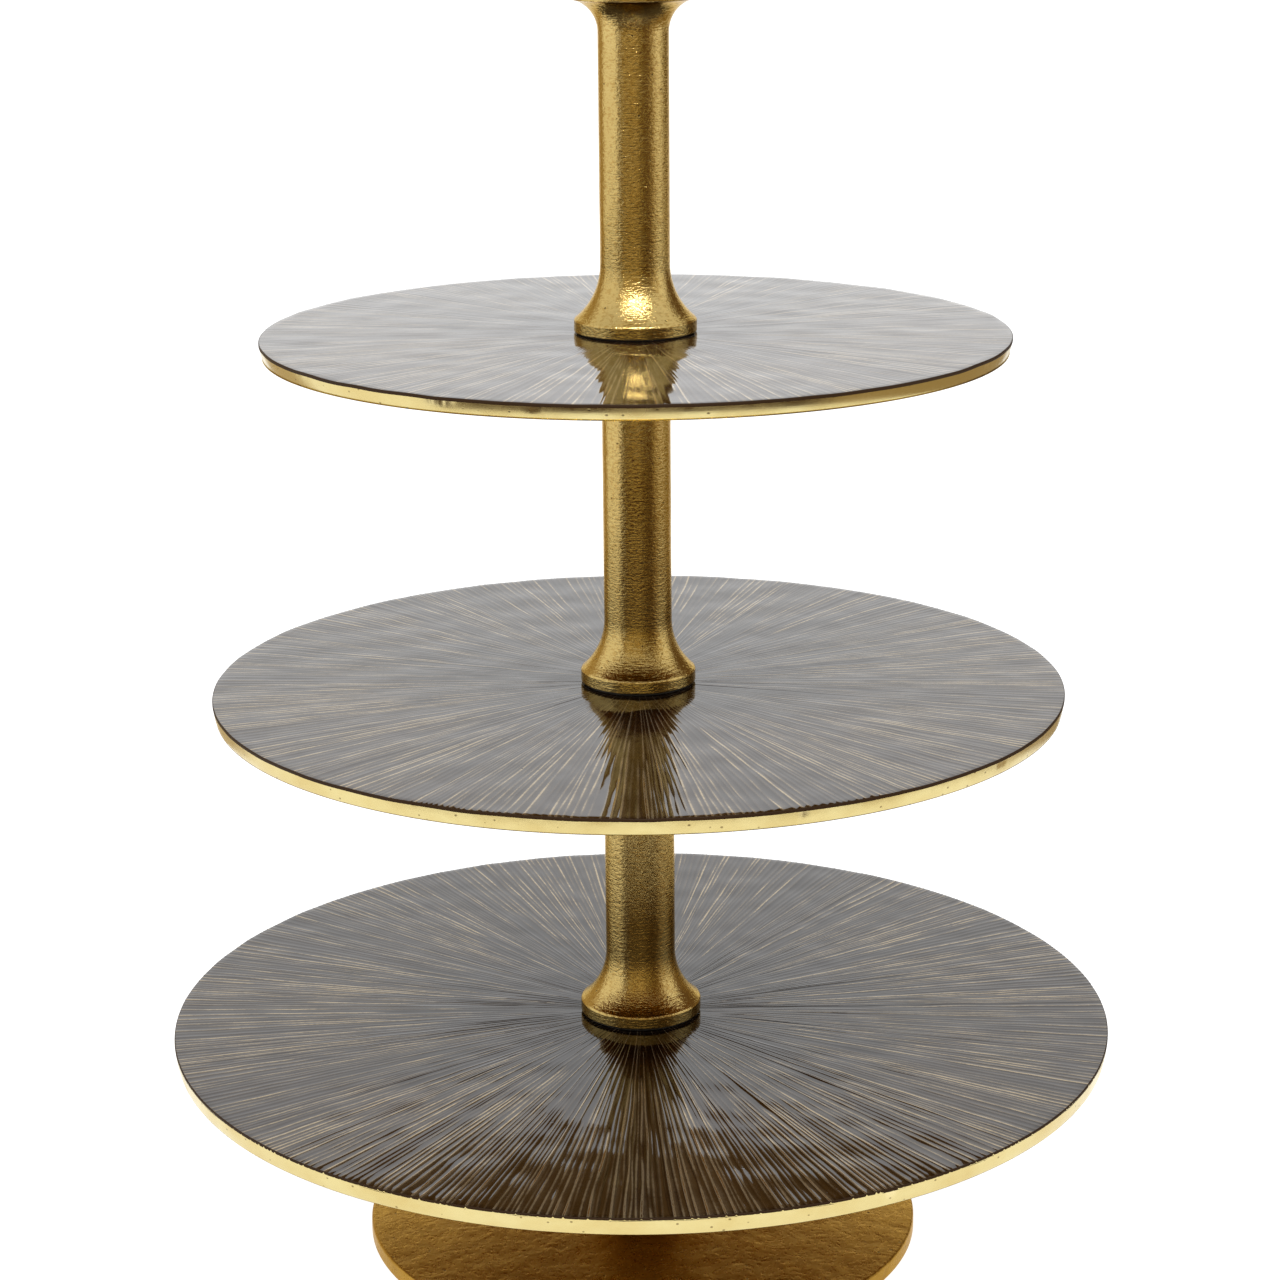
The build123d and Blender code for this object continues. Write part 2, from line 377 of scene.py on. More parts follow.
def make_edge_gold():
    """Bright pale gold on the trays' ground edges, with scratches along them and small pits."""
    n = Nodes("edge_gold")
    scratches = n.noise(n.scaled(60, 60, 3000), detail=3)
    patches = n.noise(n.scaled(38, 38, 60), detail=4, roughness=0.6)
    pits = n.spots(n.scaled(190, 190, 260), 0.13)
    worn = n.attribute("wear")[0]
    color = n.mix(n.ramp(patches, 0.35, 0.72), (0.64, 0.54, 0.25), (0.57, 0.44, 0.17))
    color = n.mix(n.math("MULTIPLY", pits, 0.7), color, (0.12, 0.07, 0.02))
    color = n.mix(n.math("MULTIPLY", worn, 0.5), color, (0.78, 0.66, 0.36))
    roughness = n.ramp(patches, 0.3, 0.7, 0.16, 0.30)
    height = n.math("SUBTRACT", n.math("MULTIPLY", scratches, 0.5), n.math("MULTIPLY", pits, 1.0))
    normal = n.bump(height, 0.25, 0.08 * MM)
    return n.finish(color, roughness, normal, metallic=1.0)


def make_cast_gold(name, light, dark, grain):
    """Sand-cast gold: wrinkled, pitted and duller, brown in the lows."""
    n = Nodes(name)
    wrinkles = n.noise(n.scaled(grain, grain, grain), detail=6, roughness=0.68, distortion=0.6)
    fine = n.noise(n.scaled(grain * 5, grain * 5, grain * 5), detail=5, roughness=0.65)
    pits = n.spots(n.scaled(grain * 1.5, grain * 1.5, grain * 1.5), 0.10)
    color = n.mix(n.ramp(wrinkles, 0.25, 0.75), dark, light)
    color = n.mix(n.math("MULTIPLY", pits, 0.7), color, (0.07, 0.035, 0.01))
    roughness = n.ramp(fine, 0.3, 0.7, 0.22, 0.38)
    height = n.math("ADD", n.math("MULTIPLY", wrinkles, 1.0), n.math("MULTIPLY", fine, 0.4))
    height = n.math("SUBTRACT", height, n.math("MULTIPLY", pits, 0.8))
    normal = n.bump(height, 0.6, 1.0 * MM)
    return n.finish(color, roughness, normal, metallic=1.0, Specular_Tint=(1.0, 0.85, 0.6, 1))


def make_enamel():
    """Glossy translucent brown enamel, thin and golden over each rib's crest, dull at the brink."""
    n = Nodes("brown_enamel")
    shown, thin, brink = n.attribute("rib")
    strands = n.noise(n.scaled(420, 420, 420), detail=3, roughness=0.6)
    cloud = n.noise(n.scaled(14, 14, 14), detail=3)
    depth = n.mix(n.ramp(cloud, 0.35, 0.68), (0.006, 0.0025, 0.001), (0.013, 0.006, 0.0025))
    color = n.mix(thin, depth, (0.022, 0.010, 0.003))
    line = n.ramp(n.math("MULTIPLY", shown, n.ramp(strands, 0.32, 0.6, 0.5, 1.0)), 0.0, 0.6)
    n.link(n.math("MULTIPLY", line, 0.97), n.shader.inputs["Metallic"])
    color = n.mix(line, color, (0.36, 0.285, 0.18))
    color = n.mix(brink, color, (0.022, 0.010, 0.003))
    pinholes = n.spots(n.scaled(46, 46, 46), 0.03)
    color = n.mix(pinholes, color, (0.004, 0.003, 0.002))
    roughness = n.math("ADD", n.ramp(strands, 0.3, 0.7, 0.03, 0.07), n.math("MULTIPLY", brink, 0.4))
    height = n.math("SUBTRACT", n.math("MULTIPLY", cloud, 1.0), n.math("MULTIPLY", pinholes, 0.6))
    normal = n.bump(height, 0.25, 0.4 * MM)
    n.link(n.ramp(brink, 0.0, 1.0, 0.5, 0.1), n.shader.inputs["Specular IOR Level"])
    return n.finish(color, roughness, normal, IOR=1.47)


def make_rubber(name, color):
    """Dark rubber with a faint moulded grain."""
    n = Nodes(name)
    grain = n.noise(n.scaled(900, 900, 900), detail=4)
    tone = n.mix(n.ramp(grain, 0.3, 0.7), color, tuple(c * 1.7 for c in color))
    normal = n.bump(grain, 0.3, 0.08 * MM)
    return n.finish(tone, n.ramp(grain, 0.3, 0.7, 0.55, 0.75), normal)


def make_steel():
    """Zinc-plated steel, slightly mottled."""
    n = Nodes("plated_steel")
    mottle = n.noise(n.scaled(300, 300, 300), detail=4)
    tone = n.mix(n.ramp(mottle, 0.3, 0.7), (0.48, 0.49, 0.51), (0.62, 0.62, 0.61))
    normal = n.bump(mottle, 0.15, 0.05 * MM)
    return n.finish(tone, n.ramp(mottle, 0.3, 0.7, 0.24, 0.4), normal, metallic=1.0)


TURNED_GOLD = make_turned_gold()
EDGE_GOLD = make_edge_gold()
# The trays' underside gold is painted far darker than the foot's cast gold: painted shade, standing in for
# the shade under each tray
SHADED_UNDERSIDE_GOLD = make_cast_gold("underside_gold_painted_shade", (0.19, 0.085, 0.012), (0.11, 0.042, 0.005), 60)
FOOT_GOLD = make_cast_gold("foot_gold", (0.43, 0.25, 0.045), (0.31, 0.165, 0.026), 90)
ENAMEL = make_enamel()
GASKET_RUBBER = make_rubber("gasket_rubber", (0.012, 0.010, 0.008))
PAD_RUBBER = make_rubber("pad_rubber", (0.02, 0.02, 0.02))
STEEL = make_steel()


# ---------------------------------------------------------------- trays

def rib_layout(rim_radius, rng):
    """Angles and starting radii of a tray's ribs: each generation starts between the last one's."""
    first = round(TURN * rim_radius / RIB_PITCH_AT_RIM / 2**RIB_GENERATIONS)
    angles = (np.arange(first) + rng.uniform(-0.2, 0.2, first)) * TURN / first % TURN
    angles = np.sort(angles)
    starts = np.full(first, rim_radius / 2 ** (RIB_GENERATIONS + 1))
    for generation in range(RIB_GENERATIONS):
        generation_radius = rim_radius / 2 ** (RIB_GENERATIONS - generation)
        gaps = np.diff(np.append(angles, angles[0] + TURN))
        between = angles + gaps * rng.uniform(0.41, 0.59, len(angles))
        between_starts = generation_radius * rng.uniform(0.6, 1.25, len(angles))
        angles = np.concatenate([angles, between]) % TURN
        starts = np.concatenate([starts, between_starts])
        order = np.argsort(angles)
        angles = angles[order]
        starts = starts[order]
    return angles, starts


def column_angles(angles, sway, radius):
    """Three mesh columns for each rib at one radius: beside, on and beside its crest."""
    crests = angles + sway
    gaps = np.diff(np.append(crests, crests[0] + TURN))
    before = np.roll(gaps, 1)
    side = np.minimum(RIB_HALF_WIDTH / radius, 0.33 * np.minimum(gaps, before))
    return np.stack([crests - side, crests, crests + side], axis=1).ravel()


class RibField:
    """The ribs of one tray: where they run, how high they stand, and the enamel's ripples.

    bold is how high each rib stands and shine how clearly its gold line shows, both from 0 to 1.
    """

    def __init__(self, rim_radius, rib_height, seed):
        rng = np.random.default_rng(seed)
        self.rib_height = rib_height
        self.angles, self.starts = rib_layout(rim_radius, rng)
        count = len(self.angles)
        gap = TURN / count
        self.sway_size = rng.uniform(0.03, 0.16, count) * gap
        self.sway_phase = rng.uniform(0, TURN, count)
        self.sway_length = rng.uniform(9, 26, count) * MM
        self.wave_phases = [rng.uniform(0, TURN, count) for _ in RIB_WAVE_LENGTHS]
        self.wave_speeds = [rng.uniform(0.7, 1.4, count) for _ in RIB_WAVE_LENGTHS]
        self.bold = rng.uniform(0.4, 1.0, count)
        self.shine = rng.uniform(0.12, 1.0, count) ** 1.5
        directions = rng.uniform(0, TURN, RIPPLE_COUNT)
        wavelengths = rng.uniform(*RIPPLE_LENGTHS, RIPPLE_COUNT)
        self.ripple_x = TURN / wavelengths * np.cos(directions)
        self.ripple_y = TURN / wavelengths * np.sin(directions)
        self.ripple_phase = rng.uniform(0, TURN, RIPPLE_COUNT)
        self.ripple_size = wavelengths / max(RIPPLE_LENGTHS)

    def columns(self, radius):
        """Angle of every mesh column at one radius."""
        sway = self.sway_size * np.sin(radius / self.sway_length + self.sway_phase)
        return column_angles(self.angles, sway, radius)

    def along(self, radius):
        """One slow random value from 0 to 1 for each rib, changing with the radius."""
        total = np.zeros(len(self.angles))
        for length, phase, speed in zip(RIB_WAVE_LENGTHS, self.wave_phases, self.wave_speeds):
            total += np.sin(radius / length * speed + phase)
        return 0.5 + 0.5 * total / len(RIB_WAVE_LENGTHS)

    def strengths(self, radius):
        """How high each rib stands and how clearly its line shows at this radius."""
        present = np.clip((radius - self.starts) / RIB_FADE_IN, 0, 1)
        along = self.along(radius)
        line = self.shine * np.clip(1.8 * along - 0.1, 0.05, 1.2)
        return present * self.bold * (0.75 + 0.25 * along), present * line

    def ripple(self, x, y):
        """Height of the enamel's slow ripples, for a ripple height of one."""
        phase = np.multiply.outer(self.ripple_x, x) + np.multiply.outer(self.ripple_y, y)
        waves = np.sin(phase + self.ripple_phase[:, None]) * self.ripple_size[:, None]
        return waves.sum(axis=0) / math.sqrt(RIPPLE_COUNT)

    def surface(self, radius):
        """Angle, height, gold line and thinness of the enamel for every column at one radius."""
        angle = self.columns(radius)
        strength, shown = self.strengths(radius)
        crest = np.outer(strength, HEIGHT_SHARES).ravel()
        line = np.outer(shown, LINE_SHARES).ravel()
        thin = np.outer(strength, THIN_SHARES).ravel()
        ripple = self.ripple(radius * np.cos(angle), radius * np.sin(angle))
        return angle, self.rib_height * crest + RIPPLE_HEIGHT * ripple, line, thin


def ring_points(radius, angle, height):
    """Corners of one ring, at a radius and height that may change round it."""
    radius = np.broadcast_to(radius, angle.shape)
    height = np.broadcast_to(height, angle.shape)
    return np.stack([radius * np.cos(angle), radius * np.sin(angle), height], axis=1)


def add_mask(piece, name, *channels):
    """Store up to three values per vertex, as a colour, for the material to read."""
    blank = np.zeros(len(channels[0]))
    unused = [blank] * (3 - len(channels))
    values = np.stack([*channels, *unused, blank + 1], axis=1)
    layer = piece.data.color_attributes.new(name=name, type="FLOAT_COLOR", domain="POINT")
    layer.data.foreach_set("color", values.astype(np.float32).ravel())


def make_enamel_sheet(number, field):
    """The ribbed enamel on one tray, down to its skirt behind the casting's toothed edge."""
    low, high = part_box(f"enamel_{number}")
    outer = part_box(f"tray_{number}")[1].x - ENAMEL_SKIRT_INSET
    bottom, top = low.z, high.z - field.rib_height
    ring_count = round((outer - TRAY_HOLE_RADIUS) / ENAMEL_RING_STEP)
    hole = ring_points(TRAY_HOLE_RADIUS, field.columns(TRAY_HOLE_RADIUS), bottom)
    blank = np.zeros(len(hole))
    rings, lines, thins, brinks = [hole], [blank], [blank], [blank]
    for radius in np.linspace(TRAY_HOLE_RADIUS, outer - ENAMEL_BRINK_WIDTH, ring_count):
        angle, height, line, thin = field.surface(radius)
        rings.append(ring_points(radius, angle, top + height))
        lines.append(line)
        thins.append(thin)
        brinks.append(blank)
    angle, height, _, _ = field.surface(outer)
    for inset, drop in (*ENAMEL_BRINK, (0.0, high.z - bottom + ENAMEL_SKIRT_DROP)):
        rings.append(ring_points(outer - inset, angle, top + height - drop))
        lines.append(blank)
        thins.append(blank)
        brinks.append(blank + 1)
    faces = ring_faces(len(rings), len(angle), closed=True)
    piece = make_object(f"enamel_sheet_{number}", np.concatenate(rings), faces, ENAMEL, sharp_angle=50)
    add_mask(piece, "rib", np.concatenate(lines), np.concatenate(thins), np.concatenate(brinks))
    stand_for(piece, f"enamel_{number}")
    return piece


def edge_profile(rim, bottom, top, bow_radius, tilt_top):
    """Bowed edge band of a tray, from its underside to its top: (radius, height) pairs."""
    tilt_span = (top - bottom) / bow_radius
    points = []
    for t in np.linspace(0, 1, EDGE_STEPS + 1):
        tilt = tilt_top - tilt_span * (1 - t)
        points.append((rim - bow_radius * (1 - math.cos(tilt)), bottom + t * (top - bottom)))
    return points


def flaw_depth(number, angle):
    """How deep the casting flaws in a tray's edge are at each angle, from 0 to 1."""
    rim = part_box(f"tray_{number}")[1].x
    total = np.zeros_like(angle)
    for degrees, length in EDGE_FLAWS[number]:
        away = (angle - math.radians(degrees) + math.pi) % TURN - math.pi
        total += np.clip(1.3 - (np.abs(away) * rim / (length * MM / 2)) ** 2, 0, 1)
    return np.clip(total, 0, 1)


def edge_waves(number, angle):
    """A tray edge's random roughness at each angle, and its slow wave in and out."""
    rng = np.random.default_rng(70 + number)
    rough = rng.uniform(0, 1, len(angle))
    lobe_counts = rng.integers(4, 40, 6)
    return rough, sum(np.sin(lobes * angle + rng.uniform(0, TURN)) / 3 for lobes in lobe_counts)


def underside_rings(angle, rim, bottom, top):
    """A casting's hole and its flat underside, out to the lip of its edge band."""
    hub = (TRAY_HOLE_RADIUS, TRAY_HOLE_RADIUS + 0.3 * MM, 24 * MM, 26 * MM)
    radii = (*hub, *np.linspace(32 * MM, rim - 2 * MM, 8), rim - CASTING_LIP)
    return [ring_points(TRAY_HOLE_RADIUS, angle, top)] + [ring_points(r, angle, bottom) for r in radii]


def band_rings(number, angle, tooth, rim, bottom, top):
    """A casting's bowed edge band, with its dents and its teeth, and how worn each ring is."""
    flaws = flaw_depth(number, angle)
    rough, wave = edge_waves(number, angle)
    low = bottom + EDGE_CORNER_HEIGHT
    band = edge_profile(rim, low, top, EDGE_BOW_RADII[number], EDGE_TILT_TOPS[number])
    rings = [ring_points(band[0][0] - EDGE_CORNER_WIDTH, angle, bottom + 0.02 * MM)]
    wear = [np.zeros(len(angle))]
    for step, (radius, height) in enumerate(band):
        share = step / EDGE_STEPS
        dent = flaws * rough * EDGE_FLAW_DEPTH * np.clip(2.2 * share - 0.8, 0, 1)
        # The wave only ever cuts in, so the band stays inside the CAD rim
        ring_radius = radius + EDGE_WAVE * wave * 0.3 - EDGE_WAVE * 0.6 - dent
        growth = max(0.0, share - TOOTH_START) / (1 - TOOTH_START)
        rings.append(ring_points(ring_radius, angle, height + tooth * growth))
        wear.append(flaws * np.clip(2 * share - 0.6, 0, 1))
    return rings, wear


def make_casting(number, field):
    """A tray's casting: flat underside, bowed hand-ground edge, and teeth where the ribs run out."""
    low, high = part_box(f"tray_{number}")
    rim, bottom, top = high.x, low.z, high.z
    angle, _, line, _ = field.surface(rim)
    tooth = TOOTH_HEIGHT * (line - TOOTH_MIDDLE_LINE)
    under = underside_rings(angle, rim, bottom, top)
    band, band_wear = band_rings(number, angle, tooth, rim, bottom, top)
    inner = [
        ring_points(rim - 0.4 * MM, angle, top + tooth),
        ring_points(rim - CASTING_LIP, angle, top - ENAMEL_SKIRT_DROP),
    ]
    rings = under + band + inner
    blank = np.zeros(len(angle))
    wear = [blank] * len(under) + band_wear + [blank] * len(inner)
    faces = ring_faces(len(rings), len(angle), closed=True)
    piece = make_object(f"tray_casting_{number}", np.concatenate(rings), faces, EDGE_GOLD)
    add_mask(piece, "wear", np.concatenate(wear))
    # The underside faces take the darker cast gold, whose colour holds painted shade under the tray
    piece.data.materials.append(SHADED_UNDERSIDE_GOLD)
    for face in piece.data.polygons:
        ring = face.index // len(angle)
        on_band = len(under) - 1 <= ring < len(rings) - len(inner)
        face.material_index = 0 if on_band else 1
    stand_for(piece, f"tray_{number}")
    return piece


def make_trays():
    """Every tray, its ribs shared between the casting and the enamel."""
    for number in TRAY_NUMBERS:
        field = RibField(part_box(f"tray_{number}")[1].x, RIB_HEIGHTS[number], seed=100 + number)
        casting = make_casting(number, field)
        sheet = make_enamel_sheet(number, field)
        # The top tray is a guess above the viewer's frame, so nothing below mirrors it
        mirrored = number != TRAY_NUMBERS[-1]
        casting.visible_glossy = mirrored
        sheet.visible_glossy = mirrored


# ---------------------------------------------------------------- turned parts

def rounded_corner(corner, start, end, radius=EDGE_ROUND, steps=5):
    """A quarter round at a corner: start and end are the arc's angles in degrees."""
    middle = math.radians((start + end) / 2)
    reach = radius * math.sqrt(2)
    centre = (corner[0] - reach * math.cos(middle), corner[1] - reach * math.sin(middle))
    return arc(centre, radius, start, end, steps)


def flare_angle(radius, growth):
    """Angle, in degrees, that a quarter-round flare turns through as it grows."""
    return math.degrees(math.acos(1 - growth / radius))


def stud_grip(bottom):
    """The hole in a foot that holds its stud, from its end down to the foot's underside."""
    return [(AXIS_GAP, bottom + STUD_GRIP), (THREAD_RADIUS, bottom + STUD_GRIP), (THREAD_RADIUS, bottom)]


def foot_band(radius, bottom, top):
    """The upright band round a foot, up to its narrow shoulder under the flare."""
    shoulder = (radius - BAND_SHOULDER_WIDTH, top - BAND_SHOULDER_HEIGHT)
    return [*rounded_corner((radius, bottom), -90, 0), (radius, top - EDGE_ROUND), shoulder]


def head_band(radius, bottom, top):
    """The upright band round a head, from its narrow shoulder over the flare to its rounded top."""
    shoulder = (radius - BAND_SHOULDER_WIDTH, bottom + BAND_SHOULDER_HEIGHT)
    return [shoulder, (radius, bottom + EDGE_ROUND), *rounded_corner((radius, top), 0, 90)]


def post_profile(node):
    """A post from its foot's stud hole, over its two flares, to its head's threaded hole.

    Each flare stops a degree short of its band, which leaves a fine crease at the band's shoulder.
    """
    low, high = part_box(node)
    bottom, top = low.z, high.z
    neck_radius, foot_radius = NECK_RADII[node], FOOT_RADII[node]
    foot_top = bottom + FOOT_BAND
    foot_turn = flare_angle(FOOT_FLARE, foot_radius - neck_radius)
    foot_height = FOOT_FLARE * math.sin(math.radians(foot_turn))
    foot_centre = (neck_radius + FOOT_FLARE, foot_top + foot_height)
    head_bottom = top - HEAD_BAND
    head_turn = flare_angle(HEAD_FLARE, HEAD_RADIUS - neck_radius)
    head_height = HEAD_FLARE * math.sin(math.radians(head_turn))
    head_centre = (neck_radius + HEAD_FLARE, head_bottom - head_height)
    hole_bottom = top - HEAD_HOLE_DEPTH
    profile = stud_grip(bottom) + foot_band(foot_radius, bottom, foot_top)
    profile += arc(foot_centre, FOOT_FLARE, 180 + foot_turn - 1.2, 180, 28)
    profile += arc(head_centre, HEAD_FLARE, 180, 180 - head_turn + 1.0, 18)
    profile += head_band(HEAD_RADIUS, head_bottom, top)
    profile += [(HEAD_HOLE_RADIUS, top), (HEAD_HOLE_RADIUS, hole_bottom), (AXIS_GAP, hole_bottom)]
    return with_supports(profile)


def make_post(node, seed):
    """A turned post in place of its CAD solid."""
    piece = lathe(f"turned_{node}", post_profile(node), TURNED_GOLD, wobble=0.08 * MM, seed=seed)
    stand_for(piece, node)


def make_knob():
    """The knob on the top tray: a ball on a flared foot."""
    low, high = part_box("finial")
    bottom, base_radius = low.z, high.x
    band_top = bottom + KNOB_BAND
    turn = flare_angle(KNOB_FLARE, base_radius - KNOB_NECK)
    flare_top = band_top + KNOB_FLARE * math.sin(math.radians(turn))
    ball_centre = high.z - KNOB_BALL
    ball_start = -math.degrees(math.acos(KNOB_NECK / KNOB_BALL))
    profile = stud_grip(bottom) + foot_band(base_radius, bottom, band_top)
    profile += arc((KNOB_NECK + KNOB_FLARE, flare_top), KNOB_FLARE, 180 + turn - 1.5, 181, 16)
    profile += arc((0, ball_centre), KNOB_BALL, ball_start + 2, 89.7, 30)
    piece = lathe("turned_finial", with_supports(profile), TURNED_GOLD, wobble=0.05 * MM, seed=9)
    stand_for(piece, "finial")


def make_gasket(node):
    """A rubber washer with a softly rounded rim."""
    low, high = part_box(node)
    outer, bottom, top = high.x, low.z, high.z
    middle = (bottom + top) / 2
    bulge = (top - bottom) / 2
    rim = arc((outer - bulge, middle), bulge, -90, 90, 8)
    hole_bottom, hole_top = (TRAY_HOLE_RADIUS, bottom), (TRAY_HOLE_RADIUS, top)
    profile = with_supports([hole_bottom, *rim, hole_top, hole_bottom])[:-1]
    piece = lathe(f"rubber_{node}", profile, GASKET_RUBBER, closed=True)
    stand_for(piece, node)


def make_stud(node):
    """An M8 stud with a real helical thread and chamfered ends."""
    low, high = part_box(node)
    length = high.z - low.z
    ring_count = round(length / THREAD_PITCH * 8)
    angles = np.linspace(0, TURN, STUD_SEGMENTS, endpoint=False)
    rings = []
    for height in np.linspace(0, length, ring_count):
        phase = (height / THREAD_PITCH - angles / TURN) % 1.0
        groove = 1 - np.abs(2 * phase - 1)
        depth = THREAD_DEPTH * np.clip(1.25 * groove - 0.15, 0, 1)
        from_end = min(height, length - height)
        limit = THREAD_RADIUS - max(0.0, STUD_CHAMFER - from_end)
        rings.append(ring_points(np.minimum(THREAD_RADIUS - depth, limit), angles, low.z + height))
    faces = ring_faces(ring_count, STUD_SEGMENTS) + end_faces(ring_count, STUD_SEGMENTS)
    piece = make_object(f"threaded_{node}", np.concatenate(rings), faces, STEEL, sharp_angle=60)
    stand_for(piece, node)


# ---------------------------------------------------------------- foot

def foot_profile(rim, bottom, hub_top):
    """The foot disc's section: bolt hole, bolt pocket, rounded upright rim and sloping top."""
    pocket_top = bottom + BOLT_POCKET_DEPTH
    slope_top = (FOOT_HUB_RADIUS + 2 * MM, hub_top - 0.2 * MM)
    profile = [(TRAY_HOLE_RADIUS, hub_top), (TRAY_HOLE_RADIUS, pocket_top)]
    profile += [(BOLT_POCKET_RADIUS, pocket_top), (BOLT_POCKET_RADIUS, bottom)]
    profile += rounded_corner((rim, bottom), -90, 0, FOOT_RIM_ROUND)
    profile += rounded_corner((rim, bottom + FOOT_RIM_HEIGHT), 0, 85, FOOT_RIM_ROUND)
    profile += [slope_top, (FOOT_HUB_RADIUS, hub_top), (TRAY_HOLE_RADIUS, hub_top)]
    return with_supports(profile, step=2.2 * MM)[:-1]


def wrinkle_waves(seed):
    """Waves of the casting's skin: the wave number, heading and phase of each."""
    rng = np.random.default_rng(seed)
    return [
        (rng.uniform(0.12, 1.0) / MM, rng.uniform(0, TURN), rng.uniform(0, TURN))
        for _ in range(WRINKLE_COUNT)
    ]


def wrinkles(waves, x, y):
    """Height of the casting's skin, for a wrinkle height of one; the short waves are the low ones."""
    total = sum(
        np.sin(number * (x * math.cos(heading) + y * math.sin(heading)) + phase) / (number * MM)
        for number, heading, phase in waves
    )
    return total / WRINKLE_COUNT


def make_foot():
    """The rough-cast foot disc: a shallow cone with a soft wrinkled skin and an upright rim."""
    low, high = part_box("foot_disc")
    rim, bottom, hub_top = high.x, low.z, high.z
    waves = wrinkle_waves(seed=5)
    angles = np.linspace(0, TURN, FOOT_SEGMENTS, endpoint=False)
    rings = []
    for radius, height in foot_profile(rim, bottom, hub_top):
        on_skin = radius > FOOT_SKIN_START and height > bottom + 0.5 * MM
        on_top = 1.0 if height > bottom + FOOT_RIM_HEIGHT - MM else 0.25
        highest = 0.0 if height < bottom + FOOT_RIM_HEIGHT else WRINKLE_LIMIT
        skin = wrinkles(waves, radius * np.cos(angles), radius * np.sin(angles))
        relief = np.clip(WRINKLE_HEIGHT * skin * on_top, -WRINKLE_LIMIT, highest)
        rings.append(ring_points(radius, angles, height + relief * on_skin))
    faces = ring_faces(len(rings), FOOT_SEGMENTS, closed=True)
    piece = make_object("cast_foot_disc", np.concatenate(rings), faces, FOOT_GOLD)
    stand_for(piece, "foot_disc")


def finish_cad_nodes():
    """Materials and softened edges for the small solids whose shape is already right."""
    finishes = {"base_bolt": STEEL, "base_washer": STEEL, "foot_pads": PAD_RUBBER}
    for node, material in finishes.items():
        piece = frame["nodes"][node]
        for slot in piece.material_slots:
            slot.material = material
        bevel = piece.modifiers.new("soft_edges", "BEVEL")
        bevel.width = 0.3 * MM
        bevel.segments = 2
        bevel.limit_method = "ANGLE"


# ---------------------------------------------------------------- studio

def glow(name, color):
    """An evenly glowing material for studio cards."""
    material = bpy.data.materials.new(name)
    material.use_nodes = True
    tree = material.node_tree
    tree.nodes.clear()
    emission = tree.nodes.new("ShaderNodeEmission")
    emission.inputs["Color"].default_value = (*color, 1)
    output = tree.nodes.new("ShaderNodeOutputMaterial")
    tree.links.new(emission.outputs[0], output.inputs["Surface"])
    return material


def make_card(name, start, end, low, high, color):
    """A curved card that only reflections see, swept from one (radius, height) to another.

    start and end are its sides' bearings in degrees, 0 towards the viewer and 90 to the viewer's right.
    """
    steps = 12
    vertices = []
    for bearing in np.radians(np.linspace(start, end, steps + 1)):
        for radius, height in (low, high):
            vertices.append((radius * math.sin(bearing), -radius * math.cos(bearing), height))
    faces = [(2 * i, 2 * i + 2, 2 * i + 3, 2 * i + 1) for i in range(steps)]
    mesh = bpy.data.meshes.new(name)
    mesh.from_pydata(vertices, [], faces)
    mesh.materials.append(glow(name, color))
    card = bpy.data.objects.new(name, mesh)
    card.visible_camera = False
    card.visible_diffuse = False
    card.visible_shadow = False
    bpy.context.scene.collection.objects.link(card)


def make_floor():
    """A plain pale sweep: glowing softly, so that it stays white, with a faint contact shadow."""
    mesh = bpy.data.meshes.new("floor")
    quarters = ((-1, -1), (1, -1), (1, 1), (-1, 1))
    mesh.from_pydata([(x * FLOOR_REACH, y * FLOOR_REACH, 0) for x, y in quarters], [], [(0, 1, 2, 3)])
    material = bpy.data.materials.new("pale_floor")
    material.use_nodes = True
    shader = material.node_tree.nodes["Principled BSDF"]
    shader.inputs["Base Color"].default_value = (0.30, 0.30, 0.30, 1)
    shader.inputs["Roughness"].default_value = 0.9
    shader.inputs["Specular IOR Level"].default_value = 0.0
    shader.inputs["Emission Color"].default_value = (1, 1, 1, 1)
    shader.inputs["Emission Strength"].default_value = 0.95
    mesh.materials.append(material)
    floor = bpy.data.objects.new("floor", mesh)
    bpy.context.scene.collection.objects.link(floor)


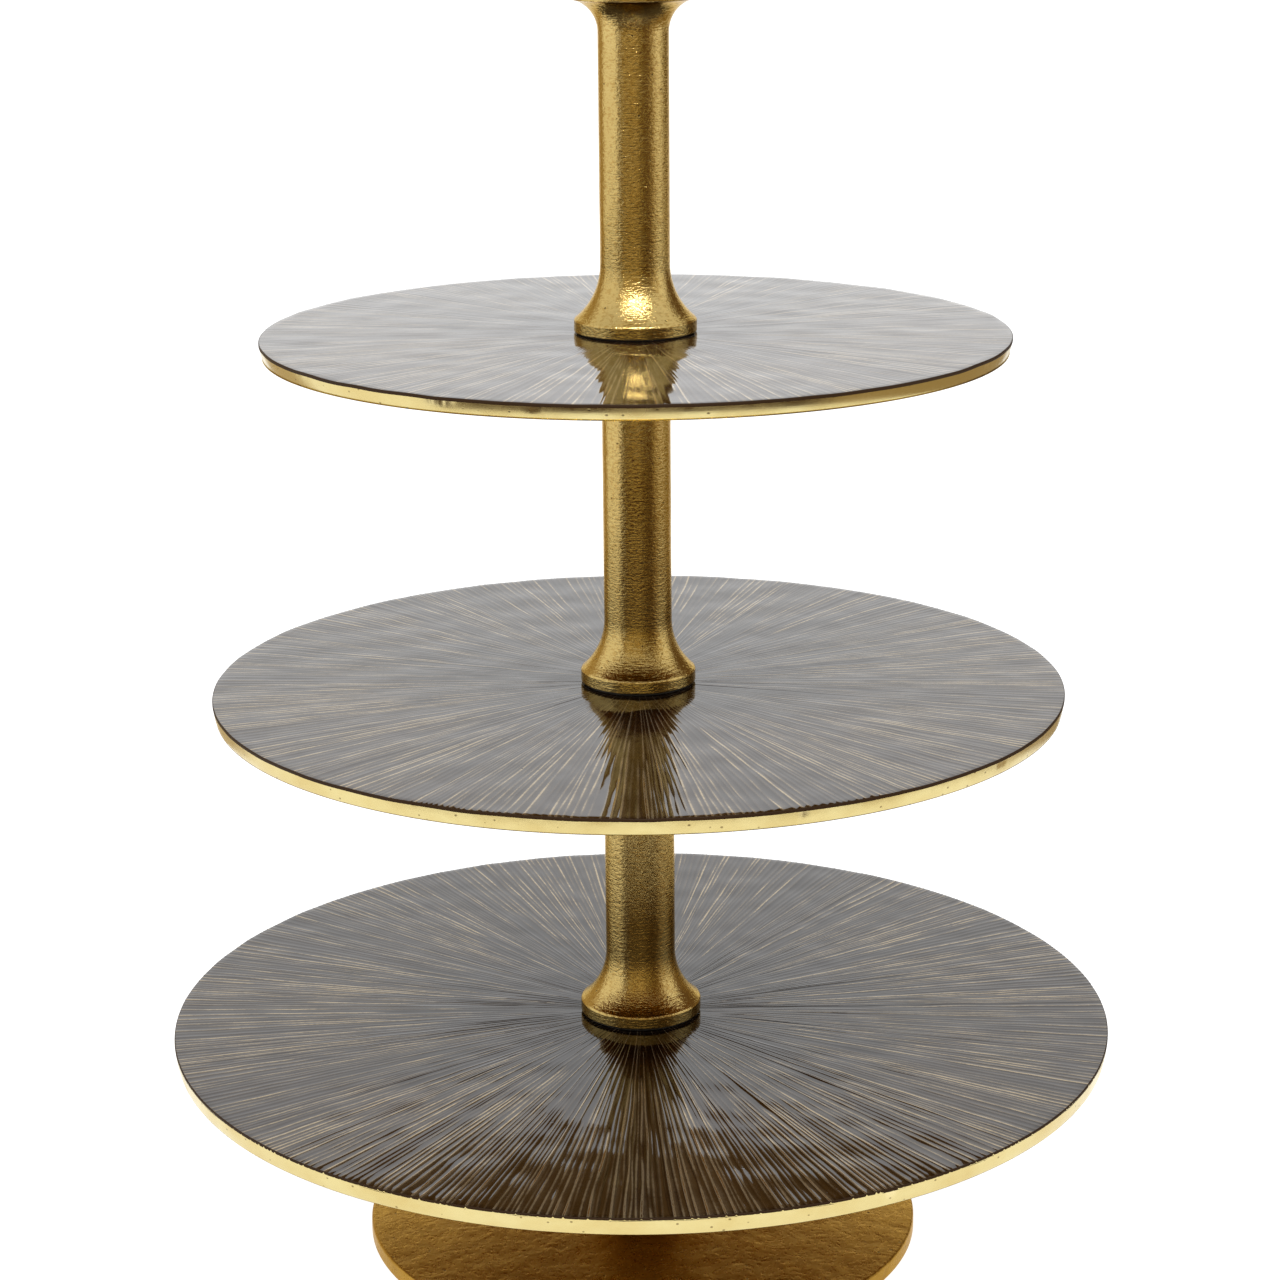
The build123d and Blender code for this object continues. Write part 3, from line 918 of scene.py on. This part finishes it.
def make_world():
    """A white surround, a little dimmer overhead."""
    world = bpy.data.worlds.new("studio")
    world.use_nodes = True
    tree = world.node_tree
    background = tree.nodes["Background"]
    direction = tree.nodes.new("ShaderNodeTexCoord")
    parts = tree.nodes.new("ShaderNodeSeparateXYZ")
    fall = tree.nodes.new("ShaderNodeMapRange")
    fall.interpolation_type = "SMOOTHSTEP"
    fall.inputs["From Min"].default_value = math.sin(SURROUND_TOP)
    fall.inputs["From Max"].default_value = math.sin(OVERHEAD_START)
    fall.inputs["To Min"].default_value = SURROUND
    fall.inputs["To Max"].default_value = OVERHEAD
    tree.links.new(direction.outputs["Generated"], parts.inputs[0])
    tree.links.new(parts.outputs["Z"], fall.inputs["Value"])
    tree.links.new(fall.outputs["Result"], background.inputs["Strength"])
    background.inputs["Color"].default_value = (1, 1, 1, 1)
    bpy.context.scene.world = world


def make_cards():
    """The cards that shape the metal's reflections."""
    for name, start, end, distance, bottom, top, color in CARDS:
        make_card(name, start, end, (distance, bottom), (distance, top), color)
        if bottom == 0:
            make_card(f"{name}_foot", start, end, (LOW_CARD_REACH, MM), (distance, MM), color)


def make_key_lamp():
    """One wide, thin soft lamp above and in front, aimed at the stand's foot."""
    key = bpy.data.lights.new("key", "AREA")
    key.shape = "ELLIPSE"
    key.size, key.size_y = KEY_LAMP_SIZE
    key.energy = KEY_LAMP_POWER
    lamp = bpy.data.objects.new("key", key)
    lamp.location = KEY_LAMP_PLACE
    lamp.rotation_euler = Vector(KEY_LAMP_PLACE).to_track_quat("Z", "Y").to_euler()
    bpy.context.scene.collection.objects.link(lamp)


def make_camera():
    """The viewer's eye: a little above the stand's middle, looking down on the trays."""
    camera = bpy.data.cameras.new("camera")
    camera.lens = CAMERA_LENS
    camera.sensor_width = CAMERA_SENSOR
    eye = bpy.data.objects.new("camera", camera)
    tray_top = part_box("enamel_1")[1].z
    eye.location = (CAMERA_SIDE, -CAMERA_DISTANCE, tray_top + CAMERA_HEIGHT_OVER_TRAY)
    level = Matrix.Rotation(math.pi / 2 - CAMERA_PITCH, 3, "X")
    eye.rotation_euler = (level @ Matrix.Rotation(-CAMERA_ROLL, 3, "Z")).to_euler()
    bpy.context.scene.collection.objects.link(eye)
    bpy.context.scene.camera = eye


bpy.context.scene.view_settings.view_transform = "Standard"
make_camera()
make_floor()
make_world()
make_cards()
make_key_lamp()
make_trays()
for post_number in POST_NUMBERS:
    make_post(f"post_{post_number}", seed=20 + post_number)
    make_gasket(f"gasket_{post_number}")
    make_stud(f"stud_{post_number}")
make_post("column", seed=30)
make_knob()
make_gasket("finial_washer")
make_stud("finial_stud")
make_foot()
finish_cad_nodes()
